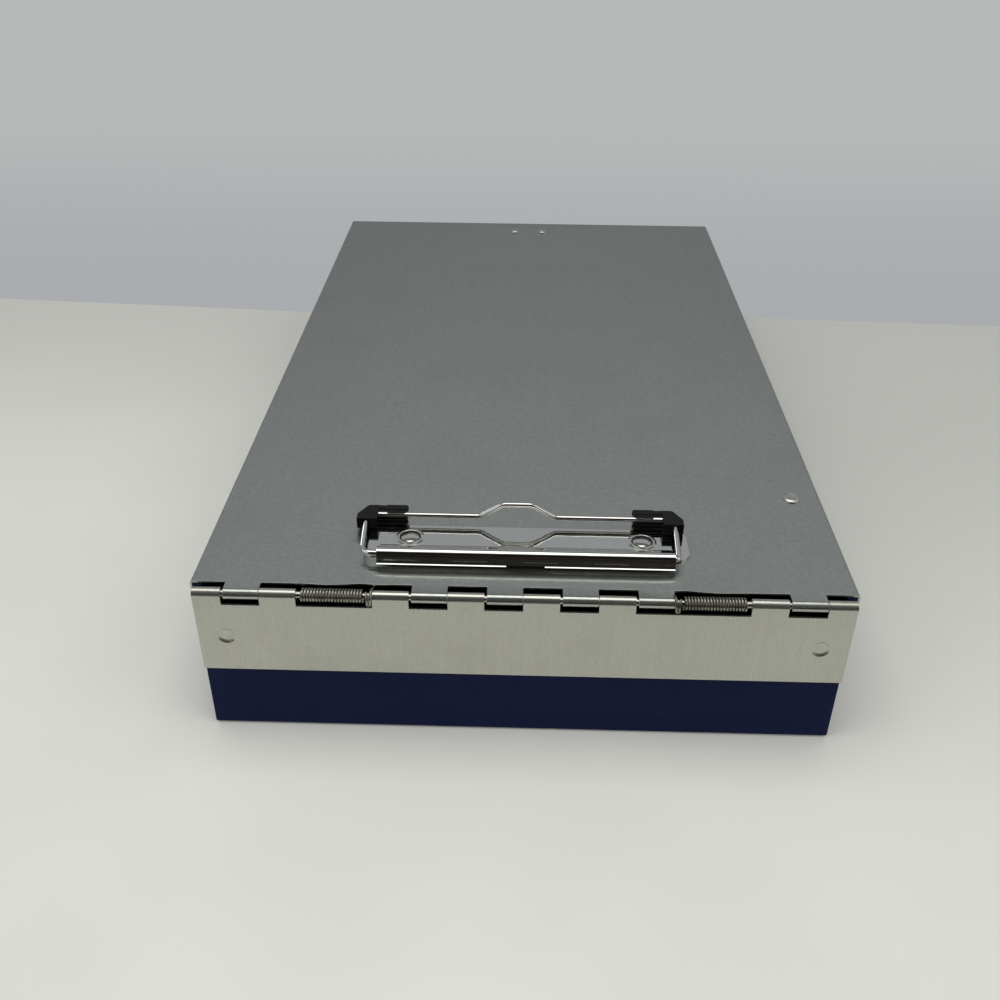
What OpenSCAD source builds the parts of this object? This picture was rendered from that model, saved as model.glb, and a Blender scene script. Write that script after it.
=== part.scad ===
// Storage clipboard box: a painted sheet-metal case with a hinged lid that carries a spring clip.
// X runs across the box, +Y from the hinge to the latch, +Z up. The origin is the centre of the base.

/* [Case] */
// Outside width of the painted case
case_w = 222; // [200:0.5:240]
// Length from the front face of the hinge leaf to the back face of the lid
overall_l = 388; // [330:1:420]
// Height of the closed box, from the table to the top of the lid
box_h = 61.1; // [50:0.1:90]
// Thickness of the sheet in the case, leaf and lid
sheet_t = 0.8; // [0.6:0.1:1]
// Outside radius of the folds
fold_r = 1.6; // [1.2:0.1:2.4]
// Height of the hem that is folded inside the rim
hem_h = 8; // [6:0.5:10]
// Width of the tabs that close the corners
tab_w = 20; // [16:1:30]

/* [Lid] */
// Gap between the case's side wall and the lid's side flange
lid_side_gap = 1.5; // [0.6:0.1:1.6]
// Gap between the case's back wall and the lid's back flange
lid_back_gap = 0.6; // [0.5:0.1:1.5]
// Height of the flanges along the lid's sides and back
lid_flange_h = 6; // [4:0.5:8]
// Space between the closed lid's underside and the rim
rim_gap = 0.3; // [0.3:0.1:0.6]

/* [Hinge] */
// Width of the hinge leaf
leaf_w = 222.9; // [210:0.1:240]
// Height of the hinge leaf, from its lower edge to the top of its knuckles
leaf_h = 34; // [28:0.5:40]
// Outside diameter of a rolled knuckle
knuckle_d = 4.1; // [3.6:0.1:4.2]
// Length of one knuckle station
knuckle_pitch = 12.7; // [12:0.1:13]
// Free gap between neighbouring knuckles
knuckle_gap = 0.4; // [0.3:0.1:0.8]
// Diameter of the hinge pin
pin_d = 2.4; // [1.6:0.1:2.4]
// How far the leaf is cut away below the pin's axis where no knuckle stands
leaf_notch = 3.5; // [3.3:0.1:6]
// How far behind the pin's axis the lid is cut away where no knuckle stands
lid_notch = 3.7; // [3.4:0.05:4]

/* [Hinge springs] */
// Diameter of the spring wire
coil_wire_d = 1; // [0.8:0.1:1]
// Outside diameter of the coil
coil_d = 5; // [4.8:0.1:5]
// Number of turns that ride on the case
coil_turns = 21; // [12:1:21]
// Length of the leg that lies against the front wall
wall_leg_l = 12; // [8:1:16]
// Length of the leg that pushes the lid
lid_leg_l = 14; // [10:1:20]

/* [Clip plate] */
// Width of the clip's base plate
plate_w = 115.4; // [112:0.1:120]
// Distance from the leaf's front face to the plate's back edge
plate_back = 40.5; // [38:0.1:42]
// Distance from the leaf's front face to the front edge of the plate's ears
ear_front = 22.5; // [21:0.1:24]
// Sheet thickness of the plate
plate_t = 0.9; // [0.8:0.1:1]
// Width of the rolled bar along the plate's front
bar_w = 103.2; // [98:0.1:103.4]
// Distance from the leaf's front face to the bail's pivot
pivot_y = 19.2; // [18:0.1:20]
// Height of the bail's pivot above the lid
pivot_h = 3.4; // [3.2:0.1:4]
// Inside radius of the bar's roll
roll_r = 1.3; // [1.2:0.1:1.5]
// How far the lip's front stands in front of the pivot
lip_out = 3.2; // [3:0.1:3.4]
// Height of the lip's middle above the lid
lip_up = 0.95; // [0.8:0.05:1.2]
// Width of the notch in the middle of the bar's lip
lip_notch_w = 13.4; // [8:0.1:20]
// How far the plate and bar sit to the right of the box's middle
plate_x = 0.7; // [-2:0.1:2]

/* [Bail] */
// Diameter of the bail's wire
bail_d = 2; // [1.8:0.1:2]
// Distance between the centre lines of the bail's legs
bail_w = 110.3; // [110:0.1:112]
// How far the bail sits off the middle of the plate
bail_shift = -2; // [-2:0.1:0]
// Distance from the leaf's front face to the bail's long side
bail_back = 42.3; // [41.4:0.1:43]
// Height of the bail's long side above the lid
bail_h = 5.1; // [4.8:0.1:6]
// Radius of the bends between the stubs and the legs
bail_bend_r = 1.5; // [1.2:0.1:1.6]
// Rise of the finger hump above the long side
hump_rise = 4.6; // [3:0.1:7]
// Width of the hump at its feet
hump_foot_w = 27.6; // [24:0.1:34]
// Width of the hump's flat top
hump_top_w = 10.4; // [6:0.1:14]

/* [Corner caps] */
// Length of a cap along the bail's long side, from its outer wall
cap_l = 17.6; // [15:0.1:22]
// Height of a cap above the lid
cap_h = 6.9; // [6.6:0.1:8]
// Distance from a leg's centre line to the cap's outer wall
cap_out = 3.4; // [3:0.1:4]
// Width of the cap's corner block
cap_block_w = 7.6; // [7:0.1:9]

/* [Latch] */
// Width of the latch strip
latch_w = 26; // [22:0.5:34]
// Thickness of the latch strip
latch_t = 0.6; // [0.5:0.1:0.6]
// Distance between the two latch rivets
latch_rivet_pitch = 17; // [14:0.5:18]
// Distance from the lid's back face to the latch rivets
latch_rivet_in = 16.5; // [14.5:0.5:18]
// How far the latch hook hangs below the lid's underside
latch_drop = 14; // [12:0.5:16]

/* [Rivets and pen clip] */
// Distance from the case's side to the leaf rivets
leaf_rivet_in = 9.3; // [8:0.1:12]
// Height of the corner rivets above the base
corner_rivet_h = 42; // [36:0.1:44]
// Distance between the two clip eyelets
eyelet_pitch = 83; // [70:0.5:90]
// Distance from the leaf's front face to the eyelets
eyelet_y = 33; // [32:0.1:34]
// Distance from the lid's right side to the pen clip's rivet
side_rivet_in = 11.2; // [10.5:0.1:14]
// Distance from the leaf's front face to the pen clip's rivet
side_rivet_y = 65.4; // [50:0.1:120]
// Inside diameter of the pen clip
pen_d = 10; // [8:0.5:11]
// Length of the pen clip along the pen
pen_clip_l = 14; // [10:1:24]

/* [Hidden] */
$fn = 64;
e = 0.01;                                     // overlap that joins solids of one piece
run_in = 0.1;                                 // how far a wire's straight run reaches into its bend
run_thin = 0.985;                             // a straight run's radius as a share of the bend's
y_front = -overall_l / 2;                     // front face of the hinge leaf
y_back = overall_l / 2;                       // back face of the lid
case_front = y_front + sheet_t;
case_back = y_back - sheet_t - lid_back_gap;
case_l = case_back - case_front;
case_mid = (case_front + case_back) / 2;
lid_under = box_h - sheet_t;
rim_z = lid_under - rim_gap;
lid_w = case_w + 2 * (lid_side_gap + sheet_t);

knuckle_r = knuckle_d / 2;
knuckle_bore_r = knuckle_r - sheet_t;
pin_r = min(pin_d / 2, knuckle_bore_r - 0.03);
axis_y = y_front + knuckle_r;
axis_z = box_h - knuckle_r;
leaf_low = box_h - leaf_h;
notch_z = axis_z - leaf_notch;
front_rim_z = notch_z + 0.3;
lid_edge_y = axis_y + lid_notch;
lid_stations = [-8, -3, -1, 1, 3, 7];         // knuckle stations counted from the middle of the box
leaf_stations = [-7, -4, -2, 0, 2, 6];
end_knuckle_l = leaf_w / 2 - 8 * knuckle_pitch;
spring_station = 5;                           // the middle of each spring, in stations from the middle

coil_r = (coil_d - coil_wire_d) / 2;          // mean radius of the coil
wire_r = coil_wire_d / 2;
coil_step = coil_wire_d * 1.04;
coil_l = coil_turns * coil_step;
coil_x = knuckle_pitch * spring_station;
coil_lead = 0.4;                              // the coil sits this far from the middle of its notch

pivot_z = box_h + pivot_h;
clip_pivot = [plate_x, y_front + pivot_y, pivot_z];
roll_mid_r = roll_r + plate_t / 2;
back_slope = 31;                              // fall of the bar's back flank, degrees
front_lean = 35;                              // where the bar's roll meets its front flank, degrees
lip_y = y_front + pivot_y - lip_out;
lip_z = box_h + lip_up;
ear_r = 3;

bail_r = bail_d / 2;
bail_x = plate_x + bail_shift;
bail_reach = norm([bail_back - pivot_y, bail_h - pivot_h]);
bail_tilt = atan2(bail_h - pivot_h, bail_back - pivot_y);
stub_l = 9;
corner_bend_r = 3.5;
hump_bend_r = 3;
hump_x = -1.1;                                // the hump's middle, off the middle of the bail

latch_y = y_back - latch_rivet_in;
bead_r = 1.1;
bead_out = 0.5;                               // how far the bead's centre stands off the hook's leg
bead_gap = 0.7;                               // between the bead and the plane of the hem
latch_bend = [0, case_back - 2 * sheet_t - bead_gap - bead_r - bead_out, lid_under - latch_t / 2];

leaf_rivet_x = case_w / 2 - leaf_rivet_in;
side_rivet_x = lid_w / 2 - side_rivet_in;
rivet_r = 1.6;
eyelet_r = 4.5;
eyelet_shank_r = 2.6;
eyelet_tail = 1.1;                            // how far a riveted-over end stands below its sheet

// ---------- shared shapes ----------

function unit(v) = v / norm(v);
function turn_angle(a, b) = acos(max(-1, min(1, unit(a) * unit(b))));

// A round bar between two points
module rod(a, b, r) {
    v = b - a;
    l = norm(v);
    translate(a) rotate([0, acos(v.z / l), atan2(v.y, v.x)]) cylinder(r = r, h = l);
}

// A wire through a list of points; bends holds the bend radius at each of them
module wire_path(points, bends, r) {
    last = len(points) - 1;
    turn = [for (i = [0 : last])
        i == 0 || i == last ? 0 : turn_angle(points[i] - points[i - 1], points[i + 1] - points[i])];
    cut = [for (i = [0 : last]) bends[i] * tan(turn[i] / 2)];
    for (i = [0 : last - 1]) {
        way = unit(points[i + 1] - points[i]);
        // the straight runs are a hair thinner and reach a little way into the bends
        start = max(0, cut[i] - run_in);
        end = max(0, cut[i + 1] - run_in);
        rod(points[i] + start * way, points[i + 1] - end * way, r * run_thin);
        if (turn[i] > 0)
            wire_bend(points[i], unit(points[i] - points[i - 1]), way, cut[i], turn[i], bends[i], r);
    }
}

// One bend of a wire at a corner, from the direction way_in to the direction way_out
module wire_bend(corner, way_in, way_out, cut, turn, bend_r, r) {
    inward = unit(way_out - (way_in * way_out) * way_in);
    centre = corner - cut * way_in + bend_r * inward;
    across = cross(-inward, way_in);
    multmatrix([[-inward.x, way_in.x, across.x, centre.x],
                [-inward.y, way_in.y, across.y, centre.y],
                [-inward.z, way_in.z, across.z, centre.z],
                [0, 0, 0, 1]])
        rotate_extrude(angle = turn) translate([bend_r, 0]) circle(r = r);
}

// Upright rectangle with its two lower corners rounded
module fold_outline(w, h, r) {
    translate([-w / 2, r]) square([w, h - r]);
    translate([-w / 2 + r, 0]) square([w - 2 * r, h]);
    for (s = [-1, 1]) translate([s * (w / 2 - r), r]) circle(r = r);
}

// Solid block with folded lower edges, its base on z = 0
module fold_block(w, l, h, r) {
    intersection() {
        rotate([90, 0, 0]) linear_extrude(l, center = true) fold_outline(w, h, r);
        rotate([90, 0, 90]) linear_extrude(w, center = true) fold_outline(l, h, r);
    }
}

// Open pan folded from one sheet
module pan(w, l, h, r, t) {
    difference() {
        fold_block(w, l, h, r);
        translate([0, 0, t]) fold_block(w - 2 * t, l - 2 * t, h, r - t);
    }
}

// Rolled knuckle along X, with its bore
module knuckle(x0, x1) {
    translate([x0, axis_y, axis_z]) rotate([0, 90, 0]) difference() {
        cylinder(r = knuckle_r, h = x1 - x0);
        translate([0, 0, -1]) cylinder(r = knuckle_bore_r, h = x1 - x0 + 2);
    }
}

// Rivet along -Z: a dished head on z = 0, a shank of length grip and a formed tail below it
module rivet(head_r, head_h, dish, grip, tail_r, tail_h, shank_r) {
    dish_r = (head_r * head_r * 0.5 + dish * dish) / (2 * dish);
    difference() {
        union() {
            translate([0, 0, head_h / 2]) cylinder(r1 = head_r, r2 = head_r * 0.8, h = head_h / 2);
            cylinder(r = head_r, h = head_h / 2 + e);
        }
        translate([0, 0, head_h - dish + dish_r]) sphere(r = dish_r);
    }
    translate([0, 0, -grip - e]) cylinder(r = shank_r, h = grip + 2 * e);
    translate([0, 0, -grip - tail_h]) cylinder(r1 = tail_r * 0.75, r2 = tail_r, h = tail_h);
}

// ---------- case ----------

// Tabs folded round from the side walls; their inner face stands one sheet off the end wall
module corner_tabs(wall_in, inward, top) {
    tab_x = case_w / 2 - sheet_t / 2 - tab_w / 2;
    for (s = [-1, 1])
        translate([s * tab_x, wall_in + inward * (sheet_t - e) / 2, (top + fold_r) / 2])
            cube([tab_w, sheet_t + e, top - fold_r], center = true);
}

module corner_rivet_holes() {
    for (s = [-1, 1])
        translate([s * leaf_rivet_x, 0, corner_rivet_h]) rotate([90, 0, 0])
            cylinder(r = rivet_r, h = overall_l + 10, center = true);
}

// Painted tray: floor, four walls, the hems inside the rim and the corner tabs
module case_tray() {
    hem_in = 1.5 * sheet_t;                   // from a wall's outer face to the middle of its hem
    side_hem_l = case_back - lid_edge_y;
    end_hem = [case_w - sheet_t, sheet_t + e, hem_h];
    tab_gap = 0.4;                            // between a tab and the hem above it
    step = [case_w + 2, 20, 20];              // block that cuts the rim down in front
    color([0.08, 0.1, 0.24]) difference() {
        union() {
            translate([0, case_mid, 0]) pan(case_w, case_l, rim_z, fold_r, sheet_t);
            for (s = [-1, 1])
                translate([s * (case_w / 2 - hem_in), lid_edge_y + side_hem_l / 2, rim_z - hem_h / 2])
                    cube([sheet_t + e, side_hem_l - e, hem_h], center = true);
            translate([0, case_back - hem_in, rim_z - hem_h / 2]) cube(end_hem, center = true);
            translate([0, case_front + hem_in, front_rim_z - hem_h / 2]) cube(end_hem, center = true);
            corner_tabs(case_front + sheet_t, 1, front_rim_z - hem_h - tab_gap);
            corner_tabs(case_back - sheet_t, -1, rim_z - hem_h - tab_gap);
        }
        // the rim steps down in front to clear the knuckles
        translate([0, lid_edge_y - step.y / 2, front_rim_z + step.z / 2]) cube(step, center = true);
        corner_rivet_holes();
    }
}

// ---------- hinge ----------

module leaf_tongue(x0, x1) {
    translate([x0, y_front, notch_z - e]) cube([x1 - x0, sheet_t, axis_z - notch_z + e]);
    knuckle(x0, x1);
}

module hinge_leaf() {
    gap = knuckle_gap / 2;
    color([0.62, 0.62, 0.58]) difference() {
        union() {
            translate([-leaf_w / 2, y_front, leaf_low]) cube([leaf_w, sheet_t, notch_z - leaf_low]);
            for (k = leaf_stations) leaf_tongue(k * knuckle_pitch + gap, (k + 1) * knuckle_pitch - gap);
            leaf_tongue(-leaf_w / 2, -leaf_w / 2 + end_knuckle_l - gap);
            leaf_tongue(leaf_w / 2 - end_knuckle_l + gap, leaf_w / 2);
        }
        // countersinks for the corner rivets
        for (s = [-1, 1])
            translate([s * leaf_rivet_x, y_front, corner_rivet_h]) rotate([-90, 0, 0])
                translate([0, 0, -e]) cylinder(r1 = 2 * rivet_r, r2 = rivet_r, h = sheet_t + 2 * e);
    }
}

// Flush corner rivet: countersunk head in the leaf, formed tail inside the corner tab
module leaf_rivet(s) {
    tail = 1;
    color([0.7, 0.7, 0.68]) translate([s * leaf_rivet_x, y_front, corner_rivet_h]) rotate([-90, 0, 0])
        difference() {
            union() {
                cylinder(r1 = 2 * rivet_r, r2 = rivet_r, h = sheet_t);
                cylinder(r = rivet_r, h = 3 * sheet_t + e);
                translate([0, 0, 3 * sheet_t]) cylinder(r1 = 2.7, r2 = 2.1, h = tail);
            }
            translate([0, 0, -e]) cylinder(r1 = 2 * rivet_r + 0.4, r2 = rivet_r * 1.3, h = 0.45);
        }
}

module rear_rivet(s) {
    color([0.08, 0.1, 0.24]) translate([s * leaf_rivet_x, case_back, corner_rivet_h]) rotate([-90, 0, 0])
        rivet(head_r = 2.9, head_h = 0.9, dish = 0.2, grip = 2 * sheet_t, tail_r = 2.7, tail_h = 1,
              shank_r = rivet_r);
}

module hinge_pin() {
    color([0.7, 0.7, 0.7]) translate([-leaf_w / 2 + 0.3, axis_y, axis_z]) rotate([0, 90, 0])
        cylinder(r = pin_r, h = leaf_w - 0.6);
}

// Close-wound coil round the pin; its outer leg lies against the front wall
module hinge_spring(s) {
    outer_end = coil_x + coil_l / 2 + coil_lead - coil_step / 2;
    leg_y = case_front + 2 * sheet_t + wire_r + 0.05;
    color([0.35, 0.34, 0.32]) mirror([s < 0 ? 1 : 0, 0, 0]) {
        translate([coil_x - coil_l / 2 + coil_lead, axis_y, axis_z]) rotate([0, 90, 0]) rotate_extrude()
            for (i = [0 : coil_turns - 1])
                translate([coil_r, (i + 0.5) * coil_step]) circle(r = wire_r * 1.06, $fn = 24);
        wire_path([[outer_end, axis_y + coil_r, axis_z],
                   [outer_end, leg_y, axis_z - 4.5],
                   [outer_end, leg_y, axis_z - 2 - wall_leg_l]], [0, 2, 0], wire_r * 0.94);
    }
}

// The coil's inner end: a wider last turn and the leg that pushes up on the lid
module spring_arm(s) {
    turn_r = coil_r + 0.35;
    x = coil_x - coil_l / 2 - wire_r - 0.25;
    color([0.4, 0.39, 0.37]) mirror([s < 0 ? 1 : 0, 0, 0]) {
        translate([x, axis_y, axis_z]) rotate([0, 90, 0]) rotate_extrude()
            translate([turn_r, 0]) circle(r = wire_r, $fn = 24);
        wire_path([[x, axis_y + turn_r * sin(75), axis_z + turn_r * cos(75)],
                   [x, axis_y + 4, lid_under - wire_r - 1.2],
                   [x, axis_y + 4 + lid_leg_l, lid_under - wire_r - 0.05]], [0, 2, 0], wire_r * 0.94);
    }
}

// ---------- lid ----------

module lid_tongue(x0, x1) {
    translate([x0, axis_y, lid_under]) cube([x1 - x0, lid_notch + 1, sheet_t]);
    knuckle(x0, x1);
}

module lid_panel() {
    gap = knuckle_gap / 2;
    lead = 10;                                // the pan's own front wall, which is cut away
    lid_l = y_back - lid_edge_y + lead;
    color([0.55, 0.57, 0.55]) difference() {
        union() {
            difference() {
                translate([0, y_back - lid_l / 2, box_h]) mirror([0, 0, 1])
                    pan(lid_w, lid_l, lid_flange_h, fold_r * 0.75, sheet_t);
                translate([0, lid_edge_y - lead, box_h])
                    cube([lid_w + 2, 2 * lead, 4 * lid_flange_h], center = true);
            }
            for (k = lid_stations) lid_tongue(k * knuckle_pitch + gap, (k + 1) * knuckle_pitch - gap);
        }
        for (s = [-1, 1]) {
            translate([plate_x + s * eyelet_pitch / 2, y_front + eyelet_y, lid_under - 1])
                cylinder(r = eyelet_shank_r, h = sheet_t + 2);
            translate([s * latch_rivet_pitch / 2, latch_y, lid_under - 1])
                cylinder(r = rivet_r, h = sheet_t + 2);
        }
        translate([side_rivet_x, y_front + side_rivet_y, lid_under - 1])
            cylinder(r = rivet_r, h = sheet_t + 2);
    }
}

// Flat foot of the latch strip, riveted under the lid
module latch_bracket() {
    foot_front = latch_y - 7;
    foot_l = latch_bend.y - foot_front - latch_t / 2 - 0.3;
    color([0.66, 0.67, 0.68]) difference() {
        translate([-latch_w / 2, foot_front, lid_under - latch_t]) cube([latch_w, foot_l, latch_t]);
        for (s = [-1, 1])
            translate([s * latch_rivet_pitch / 2, latch_y, lid_under - 2]) cylinder(r = rivet_r, h = 4);
    }
}

// Hanging leg of the latch strip, with the bead that snaps under the rim's hem
module latch_hook() {
    leg_l = latch_drop - latch_t / 2;
    bead_z = rim_z - hem_h - bead_r - 0.2;
    color([0.66, 0.67, 0.68]) {
        translate([-latch_w / 2, latch_bend.y, latch_bend.z]) rotate([0, 90, 0])
            cylinder(r = latch_t / 2, h = latch_w);
        translate([-latch_w / 2, latch_bend.y - latch_t / 2, latch_bend.z - leg_l])
            cube([latch_w, latch_t, leg_l]);
        difference() {
            translate([-latch_w / 2, latch_bend.y + bead_out, bead_z]) rotate([0, 90, 0])
                cylinder(r = bead_r, h = latch_w);
            translate([-latch_w / 2 - 1, latch_bend.y - latch_t / 2 - 4, bead_z - 3])
                cube([latch_w + 2, 4, 6]);
        }
    }
}

module latch_rivet(s) {
    color([0.72, 0.73, 0.72]) translate([s * latch_rivet_pitch / 2, latch_y, box_h])
        rivet(head_r = 2.6, head_h = 0.8, dish = 0.25, grip = sheet_t + latch_t, tail_r = 2.5, tail_h = 0.9,
              shank_r = rivet_r);
}

// ---------- pen clip ----------

module pen_clip() {
    t = 0.5;
    ring_r = pen_d / 2 + t;
    pad_w = 9;
    ring_x = side_rivet_x - pad_w / 2 - ring_r + 1.5;
    ring_z = lid_under - ring_r;
    color([0.66, 0.67, 0.68]) translate([0, y_front + side_rivet_y, 0]) {
        difference() {
            translate([ring_x, -pen_clip_l / 2, lid_under - t])
                cube([side_rivet_x + pad_w / 2 - ring_x, pen_clip_l, t]);
            translate([side_rivet_x, 0, lid_under - 2]) cylinder(r = rivet_r, h = 4);
        }
        // three quarters of a ring, open towards the pad
        translate([ring_x, pen_clip_l / 2, ring_z]) rotate([90, 0, 0]) difference() {
            cylinder(r = ring_r, h = pen_clip_l);
            translate([0, 0, -1]) cylinder(r = ring_r - t, h = pen_clip_l + 2);
            translate([0, -ring_r * 0.3, -1]) cube([2 * ring_r, 1.3 * ring_r - t, pen_clip_l + 2]);
        }
    }
}

module pen_clip_rivet() {
    color([0.72, 0.73, 0.72]) translate([side_rivet_x, y_front + side_rivet_y, box_h])
        rivet(head_r = 3.25, head_h = 0.9, dish = 0.3, grip = sheet_t + 0.5, tail_r = 2.6, tail_h = 0.9,
              shank_r = rivet_r);
}

// ---------- clip ----------

// Band of sheet between two points of a cross-section
module band(a, b, t) {
    v = b - a;
    translate(a) rotate(atan2(v.y, v.x)) translate([0, -t / 2]) square([norm(v), t]);
}

// Cross-section of the bar, in (y, z): back flank, roll over the pivot, front flank and lip
module bar_section() {
    c = [clip_pivot.y, pivot_z];
    flank_top = c + roll_mid_r * [sin(back_slope), cos(back_slope)];
    flank_low_z = box_h + plate_t / 2;
    flank_low = [flank_top.x + (flank_top.y - flank_low_z) / tan(back_slope), flank_low_z];
    front_top = c + roll_mid_r * [-cos(front_lean), sin(front_lean)];
    lip = [lip_y + plate_t / 2, lip_z];
    difference() {
        union() {
            band(flank_top, flank_low, plate_t);
            band(front_top, lip, plate_t);
            translate(lip) circle(r = plate_t / 2, $fn = 32);
            translate([flank_low.x, box_h]) square([3, plate_t]);
            difference() {
                translate(c) circle(r = roll_r + plate_t);
                translate(c) circle(r = roll_r);
                translate(c) polygon([[0, 0],
                                      12 * [-cos(front_lean), sin(front_lean)],
                                      [-12, -12], [12, -12],
                                      12 * [sin(back_slope), cos(back_slope)]]);
            }
        }
        translate([c.x, box_h - 3]) square([30, 3]);
    }
}

module clip_plate() {
    ear_l = plate_back - ear_front;
    color([0.78, 0.78, 0.78]) difference() {
        union() {
            translate([plate_x, y_front + ear_front, box_h]) {
                translate([-plate_w / 2, ear_r, 0]) cube([plate_w, ear_l - 2 * ear_r, plate_t]);
                translate([-plate_w / 2 + ear_r, 0, 0]) cube([plate_w - 2 * ear_r, ear_l, plate_t]);
                for (s = [-1, 1], y = [ear_r, ear_l - ear_r])
                    translate([s * (plate_w / 2 - ear_r), y, 0]) cylinder(r = ear_r, h = plate_t);
            }
            translate([plate_x - bar_w / 2, 0, 0]) rotate([90, 0, 90]) linear_extrude(bar_w) bar_section();
        }
        // under the bar the plate is open, so the bail's stubs and the spring ends can lie in it
        difference() {
            translate([plate_x - bar_w / 2 - 0.6, y_front + ear_front - 1, box_h - 1])
                cube([bar_w + 1.2, 5.2, plate_t + 1 + e]);
            translate([plate_x - bar_w / 2, 0, 0]) rotate([90, 0, 90]) linear_extrude(bar_w) bar_section();
        }
        translate([plate_x - lip_notch_w / 2, lip_y - 3, box_h - 1]) cube([lip_notch_w, 5, 2.6]);
        for (s = [-1, 1])
            translate([plate_x + s * eyelet_pitch / 2, y_front + eyelet_y, box_h - 1])
                cylinder(r = eyelet_shank_r, h = plate_t + 2);
    }
}

// Hollow rivet with a rolled rim and a dished centre
module clip_eyelet(s) {
    rim_r = 0.75;
    rim_up = rim_r / 2;                       // the rim's middle above the plate
    centre_h = 0.45;
    grip = sheet_t + plate_t;
    eyelet_x = plate_x + s * eyelet_pitch / 2;
    color([0.75, 0.75, 0.74]) translate([eyelet_x, y_front + eyelet_y, box_h + plate_t]) {
        translate([0, 0, rim_up]) rotate_extrude()
            difference() {
                translate([eyelet_r - rim_r, 0]) circle(r = rim_r);
                translate([0, -2 * rim_r - rim_up]) square([2 * eyelet_r, 2 * rim_r]);
            }
        cylinder(r = eyelet_r - rim_r, h = centre_h);
        translate([0, 0, -grip - e]) cylinder(r = eyelet_shank_r, h = grip + 0.1);
        translate([0, 0, -grip - eyelet_tail]) cylinder(r1 = 3.2, r2 = 3.8, h = eyelet_tail);
    }
}

// The wire's own end, twisted in the bar and hooked down behind the lip's notch
module clip_spring(s) {
    start = bail_shift + s * (bail_w / 2 - bail_bend_r - stub_l - 0.3);
    inner = s * 3.5;
    color([0.6, 0.6, 0.6]) translate(clip_pivot)
        wire_path([[start, 0, 0], [inner, 0, 0], [inner, -0.8, -1.8]], [0, 1.2, 0], bail_r * 0.95);
}

// ---------- bail ----------

// The bail's wire: from one stub in the bar round the loop and over the hump to the other stub
module bail_wire(r) {
    half = bail_w / 2;
    stub_end = half - bail_bend_r - stub_l;
    foot = hump_foot_w / 2;
    flat = hump_top_w / 2;
    translate([bail_x, clip_pivot.y, pivot_z]) rotate([bail_tilt, 0, 0])
        wire_path([[-stub_end, 0, 0], [-half, 0, 0], [-half, bail_reach, 0],
                   [hump_x - foot, bail_reach, 0], [hump_x - flat, bail_reach, hump_rise],
                   [hump_x + flat, bail_reach, hump_rise], [hump_x + foot, bail_reach, 0],
                   [half, bail_reach, 0], [half, 0, 0], [stub_end, 0, 0]],
                  [0, bail_bend_r, corner_bend_r, hump_bend_r, hump_bend_r,
                   hump_bend_r, hump_bend_r, corner_bend_r, bail_bend_r, 0], r);
}

module clip_bail() {
    color([0.8, 0.8, 0.8]) bail_wire(bail_r);
}

// Moulded cap on a back corner of the bail: corner block, arm along the wire and a gripping foot
module corner_cap(s) {
    leg_x = bail_x + s * bail_w / 2;
    wire_y = y_front + bail_back;
    cap_back = wire_y + 4.1;
    cap_front = wire_y - 4.8;
    wall_front = wire_y + 0.9;
    jaw_front = wire_y - 3.4;
    foot_front = y_front + plate_back + 0.35;
    low = box_h + 0.05;
    over_plate = box_h + plate_t + 0.35;
    top = box_h + cap_h;
    wall_top = top - 0.4;
    jaw_top = box_h + bail_h - 0.6;
    end_l = 7;                                // taller end of the arm
    end_t = 1.1;
    end_front = wire_y - 1.2;
    chamfer = 4.2;
    color([0.06, 0.06, 0.06]) difference() {
        translate([leg_x, 0, 0]) mirror([s > 0 ? 1 : 0, 0, 0]) translate([-cap_out, 0, 0]) difference() {
            union() {
                // corner block
                translate([0, cap_front, over_plate])
                    cube([cap_block_w, cap_back - cap_front, top - over_plate]);
                // back wall of the arm, with its taller end
                translate([0, wall_front, low]) cube([cap_l, cap_back - wall_front, wall_top - low]);
                translate([cap_l - end_l, end_front, top - end_t])
                    cube([end_l, cap_back - end_front, end_t]);
                // lower jaw in front of the wire
                translate([0, jaw_front, over_plate])
                    cube([cap_l, wall_front + 0.7 - jaw_front, jaw_top - over_plate]);
                // foot that grips the paper
                translate([0, foot_front, low]) cube([cap_l, cap_back - foot_front, over_plate - low + e]);
            }
            translate([0, cap_back, low - 1]) rotate(45)
                cube([chamfer * sqrt(2), chamfer * sqrt(2), 2 * cap_h + 2], center = true);
        }
        bail_wire(bail_r + 0.05);
    }
}

case_tray();
hinge_leaf();
leaf_rivet(-1);  // leaf_rivet_left
leaf_rivet(1);  // leaf_rivet_right
rear_rivet(-1);  // rear_rivet_left
rear_rivet(1);  // rear_rivet_right
hinge_pin();
hinge_spring(-1);  // hinge_spring_left
hinge_spring(1);  // hinge_spring_right
spring_arm(-1);  // spring_arm_left
spring_arm(1);  // spring_arm_right
lid_panel();
latch_bracket();
latch_hook();
latch_rivet(-1);  // latch_rivet_left
latch_rivet(1);  // latch_rivet_right
pen_clip();
pen_clip_rivet();
clip_plate();
clip_eyelet(-1);  // clip_eyelet_left
clip_eyelet(1);  // clip_eyelet_right
clip_spring(-1);  // clip_spring_left
clip_spring(1);  // clip_spring_right
clip_bail();
corner_cap(-1);  // corner_cap_left
corner_cap(1);  // corner_cap_right
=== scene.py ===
"""Looks of a storage clipboard box: a painted metal case, a hinged bare metal lid and a spring clip."""
import math

import bmesh
import bpy
from mathutils import Matrix, Vector


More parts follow.
